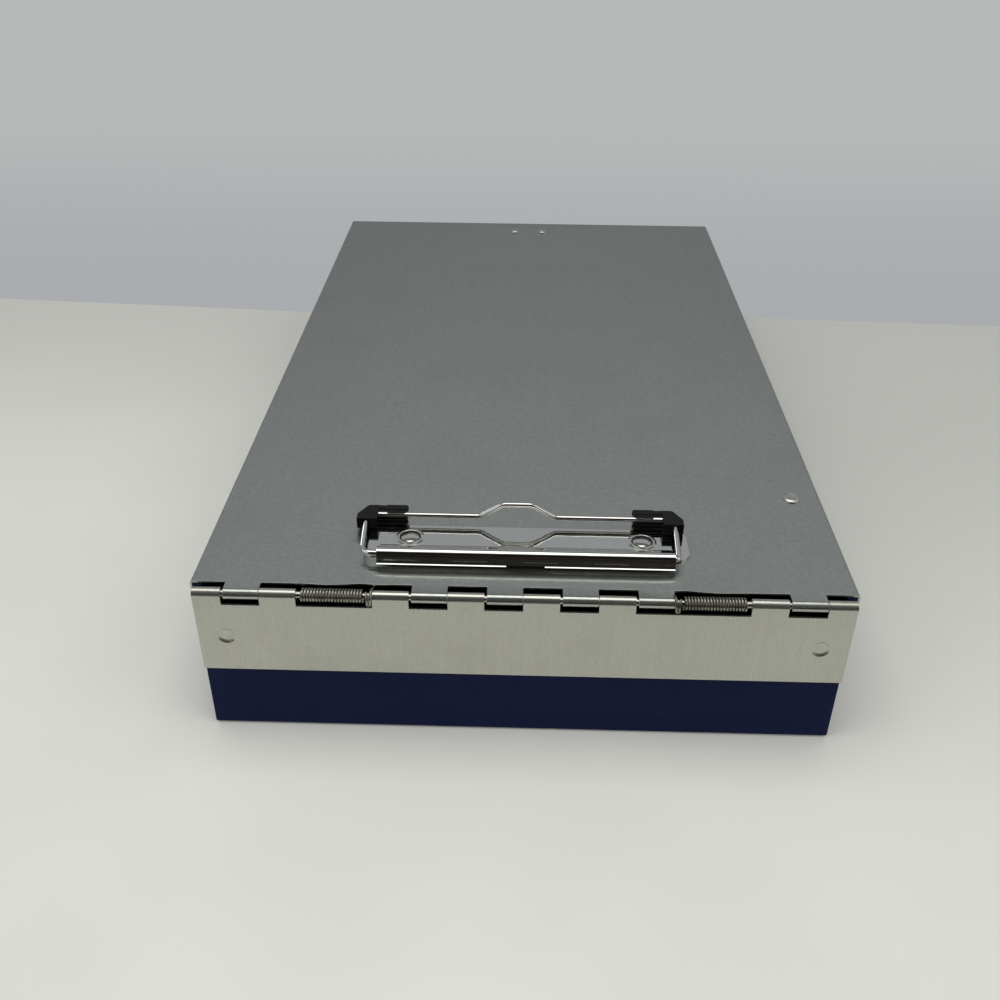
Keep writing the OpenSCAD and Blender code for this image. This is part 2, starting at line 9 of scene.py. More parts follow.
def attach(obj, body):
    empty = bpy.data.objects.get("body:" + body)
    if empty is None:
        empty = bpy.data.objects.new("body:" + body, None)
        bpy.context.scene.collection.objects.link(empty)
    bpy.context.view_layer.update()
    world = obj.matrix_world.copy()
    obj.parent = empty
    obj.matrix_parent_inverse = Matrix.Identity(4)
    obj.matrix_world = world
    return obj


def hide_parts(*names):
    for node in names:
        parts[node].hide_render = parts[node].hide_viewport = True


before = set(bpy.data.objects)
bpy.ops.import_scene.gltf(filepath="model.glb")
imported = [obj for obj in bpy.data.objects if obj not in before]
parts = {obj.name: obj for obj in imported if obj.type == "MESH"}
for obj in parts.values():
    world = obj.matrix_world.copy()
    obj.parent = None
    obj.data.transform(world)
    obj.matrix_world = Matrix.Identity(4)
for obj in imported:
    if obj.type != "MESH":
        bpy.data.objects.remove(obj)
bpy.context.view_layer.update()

# ---------- table, wall and light ----------
# The box lies on a pale laminated table top and its back touches a plain grey wall.
# A broad soft lamp hangs overhead; light also comes from both sides, and the room straight ahead is dim.

scene = bpy.context.scene
MM = 0.001


def add_piece(name, data):
    """Puts a mesh, a lamp or a camera into the scene."""
    piece = bpy.data.objects.new(name, data)
    scene.collection.objects.link(piece)
    return piece


CAMERA_PLACE = (-0.001261, -0.471767, 0.279203)
CAMERA_HEADING, CAMERA_TILT, CAMERA_ROLL = 1.362, -32.826, -0.442

camera_data = bpy.data.cameras.new("camera")
camera_data.sensor_width = 36
camera_data.lens = 38.054
camera_data.clip_start = 0.01
camera = add_piece("camera", camera_data)
camera.matrix_world = (Matrix.Translation(CAMERA_PLACE)
                       @ Matrix.Rotation(math.radians(CAMERA_HEADING), 4, "Z")
                       @ Matrix.Rotation(math.radians(CAMERA_TILT), 4, "X")
                       @ Matrix.Rotation(math.radians(CAMERA_ROLL), 4, "Y")
                       @ Matrix.Rotation(math.radians(90), 4, "X"))
scene.camera = camera
scene.view_settings.view_transform = "Standard"

# in metres; the wall's foot is a straight line on each side of the box, with its y at x = 0 and its slope
TABLE_HALF = 4
TABLE_Z = -0.00005
TABLE_EDGE_Y = -0.295
WALL_LEFT_Y, WALL_LEFT_SLOPE = 0.1789, -0.0665
WALL_RIGHT_Y, WALL_RIGHT_SLOPE = 0.1989, -0.0473
UNDER_CASE_X, UNDER_CASE_Y = 0.109, 0.188
TABLE_COLOUR = (0.845, 0.850, 0.800, 1)
# painted shade, seen only in reflections, beyond the table's front edge
PAINTED_DIM_FLOOR = (0.030, 0.026, 0.024, 1)
WALL_COLOUR = (0.400, 0.412, 0.430, 1)
# the wall's painted glow gets lighter upwards towards this colour
HIGH_WALL_COLOUR = (0.470, 0.485, 0.480, 1)


def feed(tree, node, inputs):
    """Fills a node's inputs, each with a number, a colour or the socket that feeds it."""
    for key, value in inputs.items():
        if isinstance(value, bpy.types.NodeSocket):
            tree.links.new(value, node.inputs[key])
        else:
            node.inputs[key].default_value = value


def place(tree, kind, inputs=None, **settings):
    """Adds a node with its settings and inputs."""
    node = tree.nodes.new(kind)
    for key, value in settings.items():
        setattr(node, key, value)
    feed(tree, node, inputs or {})
    return node


def work_out(tree, operation, *values):
    """Result of a sum on numbers or sockets."""
    return place(tree, "ShaderNodeMath", dict(enumerate(values)), operation=operation).outputs[0]


def between(tree, value, low, high, out_low=0.0, out_high=1.0):
    """Eases from out_low to out_high while value goes from low to high."""
    return place(tree, "ShaderNodeMapRange",
                 {0: value, 1: low, 2: high, 3: out_low, 4: out_high},
                 interpolation_type="SMOOTHSTEP").outputs[0]


def blend(tree, share, first, second):
    """Number between first and second."""
    return place(tree, "ShaderNodeMix", {0: share, 2: first, 3: second}, data_type="FLOAT").outputs[0]


def tint(tree, share, first, second):
    """Colour between first and second."""
    return place(tree, "ShaderNodeMix", {0: share, 6: first, 7: second}, data_type="RGBA").outputs[2]


def layer(tree, share, first, second):
    """Surface or light between first and second."""
    return place(tree, "ShaderNodeMixShader", {0: share, 1: first, 2: second}).outputs[0]


def shaded(colour, level):
    """The colour times level."""
    return [c * level for c in colour[:3]] + [1]


def xyz_of(tree, position):
    """The x, y and z sockets of a position or a direction."""
    return place(tree, "ShaderNodeSeparateXYZ", {0: position}).outputs


def speckle(tree, coords, size, detail=2.0, seed=0.0):
    """Soft random pattern whose blobs measure size, in mm along x, y and z."""
    stretched = place(tree, "ShaderNodeVectorMath",
                      {0: coords, 1: [1 / (s * MM) for s in size], 2: (seed, seed, seed)},
                      operation="MULTIPLY_ADD").outputs[0]
    return place(tree, "ShaderNodeTexNoise", {"Vector": stretched, "Scale": 1.0, "Detail": detail}).outputs[0]


def start_finish(name):
    """A new material with its tree, shader and the part's own coordinates in metres."""
    finish = bpy.data.materials.new(name)
    finish.use_nodes = True
    tree = finish.node_tree
    coords = place(tree, "ShaderNodeTexCoord").outputs["Object"]
    return finish, tree, tree.nodes["Principled BSDF"], coords


table_corners = [(x * TABLE_HALF, y * TABLE_HALF, TABLE_Z) for x, y in ((-1, -1), (1, -1), (1, 1), (-1, 1))]
table_mesh = bpy.data.meshes.new("table_top")
table_mesh.from_pydata(table_corners, [], [(0, 1, 2, 3)])
add_piece("table_top", table_mesh)

finish, tree, shader, coords = start_finish("table_laminate")
across_table, along_table, _ = xyz_of(tree, coords)
clouds = speckle(tree, coords, (90, 90, 90))
cloudy = tint(tree, between(tree, clouds, 0.35, 0.65), shaded(TABLE_COLOUR, 0.97), TABLE_COLOUR)
# painted shade: the table's colour gets darker towards the wall, and sooner on the right, standing in for
# light that falls off there
left_painted_falloff = tint(tree, between(tree, along_table, -0.10, 0.20), cloudy, shaded(TABLE_COLOUR, 0.80))
right_painted_falloff = tint(tree, between(tree, along_table, -0.30, 0.05), cloudy, shaded(TABLE_COLOUR, 0.76))
table_tone_with_painted_falloff = tint(tree, between(tree, across_table, -0.15, 0.15), left_painted_falloff, right_painted_falloff)
# painted shade: metal that mirrors the table sees it end at its front edge, and beyond it the table is painted
# nearly black for reflections only, standing in for the dim room below
seen_straight = place(tree, "ShaderNodeLightPath").outputs["Is Camera Ray"]
painted_dim_beyond_edge = work_out(tree, "MULTIPLY", between(tree, along_table, TABLE_EDGE_Y, TABLE_EDGE_Y - 0.004),
                     work_out(tree, "SUBTRACT", 1.0, seen_straight))
feed(tree, shader, {
    "Base Color": tint(tree, painted_dim_beyond_edge, table_tone_with_painted_falloff, PAINTED_DIM_FLOOR),
    "Roughness": between(tree, speckle(tree, coords, (4, 4, 4)), 0.3, 0.7, 0.5, 0.6),
    "Specular IOR Level": 0.1,
})
# painted light: beyond the wall's foot the sheet glows in the wall's colour instead of being lit, and the glow
# is painted lighter upwards
wall_left = work_out(tree, "MULTIPLY_ADD", across_table, WALL_LEFT_SLOPE, WALL_LEFT_Y)
wall_right = work_out(tree, "MULTIPLY_ADD", across_table, WALL_RIGHT_SLOPE, WALL_RIGHT_Y)
wall_foot = blend(tree, work_out(tree, "GREATER_THAN", across_table, 0.0), wall_left, wall_right)
beyond_foot = between(tree, work_out(tree, "SUBTRACT", along_table, wall_foot), -0.0005, 0.0010)
painted_wall_light = tint(tree, between(tree, along_table, 0.19, 0.75), WALL_COLOUR, HIGH_WALL_COLOUR)
wall_glow = place(tree, "ShaderNodeEmission", {0: painted_wall_light, 1: 1.0}).outputs[0]
table_and_wall = layer(tree, beyond_foot, shader.outputs[0], wall_glow)
# from below and under the case the table is clear, so that the case's underside is lit and can be seen
from_below = place(tree, "ShaderNodeNewGeometry").outputs["Backfacing"]
under_x = work_out(tree, "LESS_THAN", work_out(tree, "ABSOLUTE", across_table), UNDER_CASE_X)
under_y = work_out(tree, "LESS_THAN", work_out(tree, "ABSOLUTE", along_table), UNDER_CASE_Y)
under_case = work_out(tree, "MULTIPLY", under_x, under_y)
clear = work_out(tree, "MAXIMUM", from_below, under_case)
see_through = place(tree, "ShaderNodeBsdfTransparent").outputs[0]
feed(tree, tree.nodes["Material Output"], {"Surface": layer(tree, clear, table_and_wall, see_through)})
table_mesh.materials.append(finish)


def area_lamp(name, width, depth, energy):
    """Adds a soft rectangular lamp; width and depth are in metres, energy is in watts."""
    data = bpy.data.lights.new(name, "AREA")
    data.shape = "RECTANGLE"
    data.size = width
    data.size_y = depth
    data.energy = energy
    return add_piece(name, data)


lamp = area_lamp("overhead_lamp", 0.87, 0.72, 4.2)
lamp.data.color = (1.0, 0.995, 0.97)
lamp.matrix_world = Matrix.Translation((-0.06, -0.12, 1.06))

fill = area_lamp("front_fill", 1.2, 0.6, 3.9)
fill.matrix_world = Matrix.Translation((0.0, -1.15, 0.95)) @ Matrix.Rotation(math.radians(50), 4, "X")
fill.visible_glossy = False

CEILING = (0.40, 0.40, 0.39, 1)
DIM_BAND = (0.17, 0.17, 0.165, 1)
BRIGHT_SIDES = (0.92, 0.93, 0.92, 1)
DARK_ROOM, DARK_ROOM_ABOVE = (0.012, 0.011, 0.010, 1), (0.012, 0.012, 0.011, 1)
WARM_STRIPES = (0.085, 0.048, 0.040, 1)

room = bpy.data.worlds.new("room")
room.use_nodes = True
scene.world = room
tree = room.node_tree
tree.nodes.clear()
ray = place(tree, "ShaderNodeTexCoord").outputs["Generated"]
# a ray's height is 0 when it is level and 1 overhead; its heading is 1 towards the wall and -1 away from it
_, onward, height = xyz_of(tree, ray)
level = work_out(tree, "SQRT", work_out(tree, "SUBTRACT", 1.0001, work_out(tree, "MULTIPLY", height, height)))
heading = work_out(tree, "DIVIDE", onward, level)
# towards the wall: a wall that gets lighter upwards, a dim band over it and the ceiling on top
mirrored_wall = tint(tree, between(tree, height, 0.18, 0.62),
                     shaded(WALL_COLOUR, 0.58), shaded(WALL_COLOUR, 1.05))
banded = tint(tree, between(tree, height, 0.66, 0.72), mirrored_wall, DIM_BAND)
back_side = tint(tree, between(tree, height, 0.86, 0.92), banded, CEILING)
# towards the front: dim straight ahead, bright on both sides
flattened = place(tree, "ShaderNodeVectorMath", {0: ray, 1: (1.0, 1.0, 6.0)}, operation="MULTIPLY").outputs[0]
stripes = place(tree, "ShaderNodeTexNoise", {"Vector": flattened, "Scale": 1.6, "Detail": 2.0}).outputs[0]
dim = tint(tree, between(tree, stripes, 0.48, 0.66), DARK_ROOM, WARM_STRIPES)
ahead = tint(tree, between(tree, height, 0.10, 0.45), dim, DARK_ROOM_ABOVE)
side_light = tint(tree, between(tree, height, 0.80, 0.95), BRIGHT_SIDES, CEILING)
straight = between(tree, heading, -0.66, -0.84)
in_front = work_out(tree, "MULTIPLY", straight, between(tree, height, 0.93, 0.86))
front_side = tint(tree, in_front, side_light, ahead)
surround = tint(tree, between(tree, heading, -0.12, 0.30), front_side, back_side)
plain = place(tree, "ShaderNodeBackground", {0: WALL_COLOUR, 1: 1.0}).outputs[0]
lit = place(tree, "ShaderNodeBackground", {0: surround, 1: 1.0}).outputs[0]
seen_straight = place(tree, "ShaderNodeLightPath").outputs["Is Camera Ray"]
place(tree, "ShaderNodeOutputWorld", {0: layer(tree, seen_straight, lit, plain)})

# ---------- case ----------
# Open tray folded from 0.8 mm sheet steel: floor, walls, hems inside the rim and corner tabs.
# It is painted navy after folding; the paint is smooth and softly glossy, with a little dust on it.

# painted shade: the rim of the front wall, seen through the notches under the hinge, is painted nearly black
# and less glossy; the dark comes in over these places (mm)
NOTCH_SHADE_Y = (-188.3, -188.8)
NOTCH_SHADE_Z = (53.6, 54.6)
NOTCH_SHADE_COLOUR = (0.0012, 0.0012, 0.0014, 1)


def dress(node, finish):
    """Gives a CAD piece that stays as it is its finish."""
    for slot in parts[node].material_slots:
        slot.material = finish


def bump(tree, height, strength, depth):
    """Fine relief in a surface; depth is in metres."""
    relief = place(tree, "ShaderNodeBump", {"Strength": strength, "Distance": depth, "Height": height})
    return relief.outputs[0]


navy_paint, tree, shader, coords = start_finish("navy_paint")
patches = speckle(tree, coords, (60, 60, 40), detail=3)
dust = between(tree, speckle(tree, coords, (0.7, 0.7, 0.7), detail=1, seed=3), 0.72, 0.80)
rubs = between(tree, speckle(tree, coords, (14, 0.3, 3), detail=2, seed=9), 0.68, 0.80)
paint_tone = tint(tree, patches, (0.0064, 0.0112, 0.0470, 1), (0.0078, 0.0132, 0.0500, 1))
rubbed = tint(tree, work_out(tree, "MULTIPLY", rubs, 0.20), paint_tone, (0.05, 0.06, 0.12, 1))
dusty = tint(tree, work_out(tree, "MULTIPLY", dust, 0.25), rubbed, (0.07, 0.08, 0.12, 1))
_, along_case, up_case = xyz_of(tree, coords)
# painted shade on the front wall's rim under the hinge
notch_shade = work_out(tree, "MULTIPLY", between(tree, along_case, *(y * MM for y in NOTCH_SHADE_Y)),
                between(tree, up_case, *(z * MM for z in NOTCH_SHADE_Z)))
feed(tree, shader, {
    "Base Color": tint(tree, notch_shade, dusty, NOTCH_SHADE_COLOUR),
    "Roughness": between(tree, speckle(tree, coords, (9, 9, 9), detail=3, seed=5), 0.3, 0.7, 0.42, 0.54),
    "Specular IOR Level": work_out(tree, "MULTIPLY_ADD", notch_shade, -0.05, 0.06),
    "Normal": bump(tree, speckle(tree, coords, (1.6, 1.6, 1.6), detail=2), 0.3, 0.00002),
})

dress("case_tray", navy_paint)

# ---------- hinge leaf ----------
# Strip of bare aluminium sheet riveted to the front wall, with knuckles rolled from its top edge.
# Its rolling grain runs up and down; the face is dusty and nicked from use.

# the flat face ends and the rolled knuckles begin between these heights (mm)
FACE_TOP, KNUCKLES_LOW = 56.3, 56.9


def bare_metal(name, light, dark, grain, along, across, rough, one_way,
               stains=0.5, nicks=0.0, clean=1.0, mottle=0.0):
    """Sheet metal whose fine grain runs along one direction.

    grain is the size of its streaks in mm. one_way says how far reflections are drawn out across the grain.
    stains, nicks and mottle say how strong those marks are, and clean how metallic the surface still looks.
    """
    finish, tree, shader, coords = start_finish(name)
    streaks = speckle(tree, coords, grain, detail=3)
    if nicks:
        # the rolled knuckles are smoother than the flat face
        on_face = between(tree, xyz_of(tree, coords)[2], KNUCKLES_LOW * MM, FACE_TOP * MM)
        streaks = blend(tree, on_face, 0.5, streaks)
    bands = speckle(tree, coords, [g * 8 for g in grain], detail=2, seed=2)
    handled = speckle(tree, coords, (34, 42, 30), detail=3, seed=7)
    shade = work_out(tree, "MULTIPLY_ADD", streaks, 0.6, work_out(tree, "MULTIPLY", bands, 0.4))
    tone = tint(tree, between(tree, shade, 0.30, 0.70), dark, light)
    tone = tint(tree, between(tree, handled, 0.50, 0.78, 0, stains), tone, shaded(dark, 0.90))
    if mottle:
        blotches = speckle(tree, coords, (1.5, 1.5, 1.5), detail=3, seed=13)
        tone = tint(tree, between(tree, blotches, 0.35, 0.65, 0, mottle), tone, shaded(dark, 0.8))
    if nicks:
        specks = speckle(tree, coords, (0.55, 0.55, 0.55), detail=1, seed=11)
        on_specks = work_out(tree, "MULTIPLY", between(tree, specks, 0.70, 0.78, 0, nicks), on_face)
        tone = tint(tree, on_specks, tone, shaded(dark, 0.45))
    worn = work_out(tree, "MULTIPLY_ADD", handled, 0.5, streaks)
    facing = place(tree, "ShaderNodeNewGeometry").outputs["Normal"]
    lay = place(tree, "ShaderNodeVectorMath", {0: along, 1: facing}, operation="CROSS_PRODUCT").outputs[0]
    # a surface that faces along the grain has no such direction, so a little of across is added
    nudge = [a * 0.05 for a in across]
    lay = place(tree, "ShaderNodeVectorMath", {0: lay, 1: nudge}, operation="ADD").outputs[0]
    feed(tree, shader, {
        "Base Color": tone,
        "Roughness": between(tree, worn, 0.5, 1.0, rough - 0.03, rough + 0.04),
        "Metallic": clean,
        "Anisotropic": one_way,
        "Normal": bump(tree, streaks, 0.4, 0.0000015),
        "Tangent": lay,
    })
    return finish


bare_leaf = bare_metal("bare_leaf", light=(0.508, 0.508, 0.456, 1), dark=(0.470, 0.466, 0.414, 1),
                       grain=(0.30, 6, 6), along=(0, 0, 1), across=(1, 0, 0), rough=0.27, one_way=0.6,
                       nicks=0.6, clean=0.90)
dress("hinge_leaf", bare_leaf)

# ---------- corner rivets ----------
# Solid aluminium rivets hold the leaf, the front wall and the corner tabs together.
# Their heads are driven flush into countersinks, so only a shallow dimple shows; the rear pair is painted.

rivet_metal = bare_metal("rivet_metal", light=(0.60, 0.60, 0.56, 1), dark=(0.50, 0.50, 0.46, 1),
                         grain=(0.5, 0.5, 0.5), along=(0, 0, 1), across=(1, 0, 0), rough=0.36, one_way=0.0)
for word in ("left", "right"):
    dress(f"leaf_rivet_{word}", rivet_metal)
    dress(f"rear_rivet_{word}", navy_paint)

# ---------- hinge pin ----------
# One rod of drawn steel wire, 2.4 mm thick, that runs through every knuckle from side to side.
# It is left bare and shows only between the knuckles and at its two ends.

pin_steel = bare_metal("pin_steel", light=(0.56, 0.55, 0.53, 1), dark=(0.44, 0.43, 0.41, 1),
                       grain=(6, 0.3, 0.3), along=(1, 0, 0), across=(0, 0, 1), rough=0.26, one_way=0.3)
dress("hinge_pin", pin_steel)

# ---------- hinge springs ----------
# Two torsion springs wound from 1 mm spring wire round the hinge pin; the steel is dull and oily.
# One leg drops down inside the front wall. The other end doubles back in front, passes over the coil
# and reaches under the lid, which it pushes open.

# in mm; the coil starts COIL_START from the middle and the arm leaves at ARM_X, ARM_R from the pin's middle
HINGE_AXIS = Vector((0, -191.95, 59.05))
SPRING_WIRE_R = 0.5
COIL_START = 52.98
COIL_TURNS = 21
COIL_STEP = 1.04
COIL_R = 2.0
WALL_LEG_Y = -191.05
WALL_LEG_DROP = 14
ARM_X = 51.6
ARM_R = 2.34
ARM_END_Y = -173.95
LID_UNDERSIDE = 60.3
LID_FRONT_Y = -188.25


def hand_over(piece, body, slot, finish, *nodes):
    """Gives a piece its finish and its body, and hides the CAD nodes that it stands for."""
    piece.data.materials.clear()
    piece.data.materials.append(finish)
    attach(piece, body)
    if nodes:
        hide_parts(*nodes)


def wire(name, line, radius, sides=16):
    """Round wire along a line of points in mm, with its ends rounded over."""
    line = [Vector(p) for p in line]
    ways = [(line[min(i + 1, len(line) - 1)] - line[max(i - 1, 0)]).normalized() for i in range(len(line))]
    side = ways[0].orthogonal().normalized()
    rings = []
    for i, (point, way) in enumerate(zip(line, ways)):
        if i:
            side = ways[i - 1].rotation_difference(way) @ side
        side = (side - side.dot(way) * way).normalized()
        rings.append((point, way, side, way.cross(side), radius))
    # each end is rounded over three rings: how far along each lies and how wide it is, as shares of the radius
    nose = [(0.0, 0.45), (0.3, 0.8), (0.6, 0.96)]
    first, last = rings[0], rings[-1]
    head = [(first[0] - first[1] * radius * (0.6 - t), *first[1:4], radius * s) for t, s in nose]
    tail = [(last[0] + last[1] * radius * (0.6 - t), *last[1:4], radius * s) for t, s in reversed(nose)]
    rings = head + rings + tail
    points, faces = [], []
    for point, way, side, up, r in rings:
        for k in range(sides):
            a = 2 * math.pi * k / sides
            points.append((point + (side * math.cos(a) + up * math.sin(a)) * r) * MM)
    for i in range(len(rings) - 1):
        for k in range(sides):
            j = (k + 1) % sides
            faces.append((i * sides + k, i * sides + j, (i + 1) * sides + j, (i + 1) * sides + k))
    faces.append(tuple(reversed(range(sides))))
    faces.append(tuple(range((len(rings) - 1) * sides, len(rings) * sides)))
    mesh = bpy.data.meshes.new(name)
    mesh.from_pydata(points, [], faces)
    mesh.shade_smooth()
    return add_piece(name, mesh)


def round_the_pin(x, angle, radius):
    """A point round the hinge pin; angle 0 is on top and 90 in front."""
    a = math.radians(angle)
    return Vector((x, HINGE_AXIS.y - radius * math.sin(a), HINGE_AXIS.z + radius * math.cos(a)))


def bent_line(corners, bends, steps=8):
    """Points along straight runs joined by arcs; bends is the bend radius at each corner."""
    corners = [Vector(c) for c in corners]
    line = [corners[0]]
    for i in range(1, len(corners) - 1):
        way_in = (corners[i] - corners[i - 1]).normalized()
        way_out = (corners[i + 1] - corners[i]).normalized()
        turn = way_in.angle(way_out)
        if bends[i] and turn > 0.01:
            cut = bends[i] * math.tan(turn / 2)
            inward = (way_out - way_in.dot(way_out) * way_in).normalized()
            start = corners[i] - cut * way_in
            for k in range(steps + 1):
                a = turn * k / steps
                line.append(start + bends[i] * (math.sin(a) * way_in + (1 - math.cos(a)) * inward))
        else:
            line.append(corners[i])
    return line + [corners[-1]]


def coil_line(side):
    """The turns round the pin; they end at the back and drop down behind the front wall."""
    steps = 20
    line = [round_the_pin(side * (COIL_START + COIL_STEP * (0.5 + i / steps)), 90 + 360 * i / steps, COIL_R)
            for i in range((COIL_TURNS - 1) * steps + 1)]
    outer_x = line[-1].x
    line += [round_the_pin(outer_x, 90 + 360 * (COIL_TURNS - 1) + 18 * i, COIL_R) for i in range(1, 9)]
    return line + bent_line([line[-1] + Vector((0, 0.1, -0.2)),
                             (outer_x, WALL_LEG_Y + 0.25, HINGE_AXIS.z - 4.0),
                             (outer_x, WALL_LEG_Y, HINGE_AXIS.z - WALL_LEG_DROP)], [0, 2, 0])


def arm_line(side):
    """Down in front, back up through a tight bend, over the coil and on under the lid."""
    far, near = side * (ARM_X + 0.62), side * (ARM_X - 0.40)
    front_y = HINGE_AXIS.y - ARM_R
    # the two runs in front touch, so the bend between them is only just wider than the wire's radius
    bend_r = SPRING_WIRE_R + 0.005
    bend_z = HINGE_AXIS.z - 2.01
    line = [round_the_pin(far + side * 0.5 * (1 - t / 6) ** 2, 15 + 12 * t, COIL_R + 0.34 * t / 6)
            for t in range(7)]
    line += bent_line([line[-1] + Vector((0, 0, -0.3)), (far, front_y + 0.05, bend_z),
                       (near, front_y + 0.02, bend_z), (near, front_y, HINGE_AXIS.z)],
                      [0, bend_r, bend_r, 0])
    # the arm drifts towards the middle as it crosses the coil and again under the lid
    lean = side * -0.35
    line += [round_the_pin(near + lean * t / 10, 88 - 9.6 * t, ARM_R) for t in range(11)]
    leg_z = LID_UNDERSIDE - SPRING_WIRE_R - 0.03
    start = line[-1]
    return line + bent_line([start + Vector((lean * 0.2, 0.25, -0.08)),
                             (start.x + lean, LID_FRONT_Y - 0.15, leg_z - 0.02),
                             (start.x + 2 * lean, ARM_END_Y, leg_z)], [0, 2.4, 0])


spring_wire = bare_metal("spring_wire", light=(0.40, 0.39, 0.34, 1), dark=(0.15, 0.142, 0.115, 1),
                         grain=(0.5, 0.5, 0.5), along=(0, 0, 1), across=(1, 0, 0), rough=0.15, one_way=0.0,
                         stains=0.9)
for side, word in ((-1, "left"), (1, "right")):
    hand_over(wire(f"hinge_spring_{word}_wire", coil_line(side), SPRING_WIRE_R), "case", "spring_wire",
              spring_wire, f"hinge_spring_{word}")
    hand_over(wire(f"spring_arm_{word}_wire", arm_line(side), SPRING_WIRE_R), "lid", "spring_wire",
              spring_wire, f"spring_arm_{word}")

# ---------- lid ----------
# Bare aluminium sheet with 6 mm flanges folded down on three sides and knuckles rolled at the front.
# It is brushed along its length; the spring ends lift its front edge a little and it sags beside them.

# in mm; the front edge is bent over BENT_DEPTH, and between the springs it curls up over CURL_DEPTH
LID_TOP = 61.1
KNUCKLE_PITCH = 12.7
BENT_DEPTH = 22
CURL_DEPTH = 16

brushed_lid = bare_metal("brushed_lid", light=(0.462, 0.482, 0.446, 1), dark=(0.438, 0.460, 0.424, 1),
                         grain=(0.16, 16, 0.6), along=(0, 1, 0), across=(1, 0, 0), rough=0.22, one_way=1.0,
                         stains=0.35, clean=0.95, mottle=0.4)


def cut_finely(shape):
    """Adds rows and columns of edges near the lid's front, so that it can be bent there."""
    for d in (0.8, 2, 3.5, 5.5, 8, 11, 14, 18, BENT_DEPTH):
        bmesh.ops.bisect_plane(shape, geom=shape.verts[:] + shape.edges[:] + shape.faces[:], dist=1e-7,
                               plane_co=(0, (LID_FRONT_Y + d) * MM, 0), plane_no=(0, 1, 0))
    for x in [s * (44 + 1.5 * i) for s in (-1, 1) for i in range(27)]:
        near = [f for f in shape.faces if f.calc_center_median().y < (LID_FRONT_Y + BENT_DEPTH + 0.5) * MM]
        verts = list({v for f in near for v in f.verts})
        edges = list({e for f in near for e in f.edges})
        bmesh.ops.bisect_plane(shape, geom=verts + edges + near, dist=1e-7,
                               plane_co=(x * MM, 0, 0), plane_no=(1, 0, 0))


def bend_front_edge(shape):
    """Lifts the front edge over the spring arms, lets it sag beside them and moves the knuckles' ends."""
    for v in shape.verts:
        x, y, z = (c / MM for c in v.co)
        if y < LID_FRONT_Y + 0.01:
            # the lid has slid to one side of its play on the pin
            station = (x / KNUCKLE_PITCH) % 1
            if station < 0.03:
                v.co.x += 0.45 * MM
            elif station > 0.97:
                v.co.x += 0.25 * MM
        if z < LID_TOP - 1 or y < LID_FRONT_Y - 0.01 or y > LID_FRONT_Y + BENT_DEPTH:
            continue
        inward = y - LID_FRONT_Y
        lift = 0.42 * math.exp(-((abs(x) - 54.5) / 4.2) ** 2)
        sag = 0.34 * math.exp(-((abs(x) - 67) / 6.0) ** 2)
        curl = 0.30 * min(1, max(0, (50 - abs(x)) / 6)) * max(0, 1 - inward / CURL_DEPTH) ** 2
        fade = (1 - inward / BENT_DEPTH) ** 2
        v.co.z += ((lift - sag) * fade + curl) * MM


def ease_edges(piece, width, segments, from_angle):
    """Rounds a piece's sharp edges by width mm."""
    bevel = piece.modifiers.new("eased_edges", "BEVEL")
    bevel.width = width * MM
    bevel.segments = segments
    bevel.limit_method = "ANGLE"
    bevel.angle_limit = math.radians(from_angle)
    bevel.harden_normals = True
    return bevel


def piece_from(shape, name):
    """Turns a finished shape into a piece of that name."""
    mesh = bpy.data.meshes.new(name)
    shape.to_mesh(mesh)
    shape.free()
    return add_piece(name, mesh)


def lid_sheet():
    """The lid's solid with whole flat faces, its front edge bent and its edges eased."""
    shape = bmesh.new()
    shape.from_mesh(parts["lid_panel"].data)
    bmesh.ops.remove_doubles(shape, verts=shape.verts, dist=1e-6)
    bmesh.ops.dissolve_limit(shape, angle_limit=math.radians(0.3), verts=shape.verts, edges=shape.edges)
    cut_finely(shape)
    bend_front_edge(shape)
    sheet = piece_from(shape, "lid_sheet")
    if "custom_normal" in sheet.data.attributes:
        sheet.data.attributes.remove(sheet.data.attributes["custom_normal"])
    sheet.data.shade_smooth()
    ease_edges(sheet, 0.15, 2, 40).use_clamp_overlap = False
    return sheet


hand_over(lid_sheet(), "lid", "brushed_lid", brushed_lid, "lid_panel")

# ---------- latch ----------
# Spring steel strip fixed under the lid's far edge by two rivets that show on top.
# Its leg hangs inside the back wall and has a bead that snaps behind the hem of the rim.

spring_strip = bare_metal("spring_strip", light=(0.62, 0.63, 0.63, 1), dark=(0.50, 0.51, 0.51, 1),
                          grain=(6, 0.4, 0.4), along=(1, 0, 0), across=(0, 0, 1), rough=0.30, one_way=0.4)
for node in ("latch_bracket", "latch_hook"):
    dress(node, spring_strip)
for node in ("latch_rivet_left", "latch_rivet_right"):
    dress(node, rivet_metal)

# ---------- pen clip ----------
# Strip of the same spring steel, rolled into an open loop that grips a pen.
# It sits under the right side of the lid and one dished rivet holds it.

dress("pen_clip", spring_strip)
dress("pen_clip_rivet", rivet_metal)

# ---------- clip plate ----------
# Base plate and rolled bar of the paper clip, pressed from one 0.9 mm steel sheet and nickel plated.
# The bar's roll holds the bail's wire; its front ends in a lip with a notch in the middle.

# in mm; the plate and the bar sit PLATE_X to the right of the box's middle, and PIVOT is the bail's axis
PLATE_X = 0.7
PLATE_T = 0.9
PLATE_HALF = 57.7
PLATE_FRONT_Y, PLATE_BACK_Y = -171.5, -153.5
PLATE_TOP = LID_TOP + PLATE_T
EAR_R = 4.3
BAR_HALF = 51.6
NOTCH_HALF = 6.7
PIVOT = Vector((0, -174.8, 64.5))
ROLL_R = 2.25
ROLL_Z = PIVOT.z + 0.17
LIP_L = 0.42
LIP_BEND = 0.15
FLANK_R = 16.7
FOOT_BEND = 1.6
PLATING_LIGHT, PLATING_DARK = (0.64, 0.65, 0.62, 1), (0.59, 0.60, 0.57, 1)


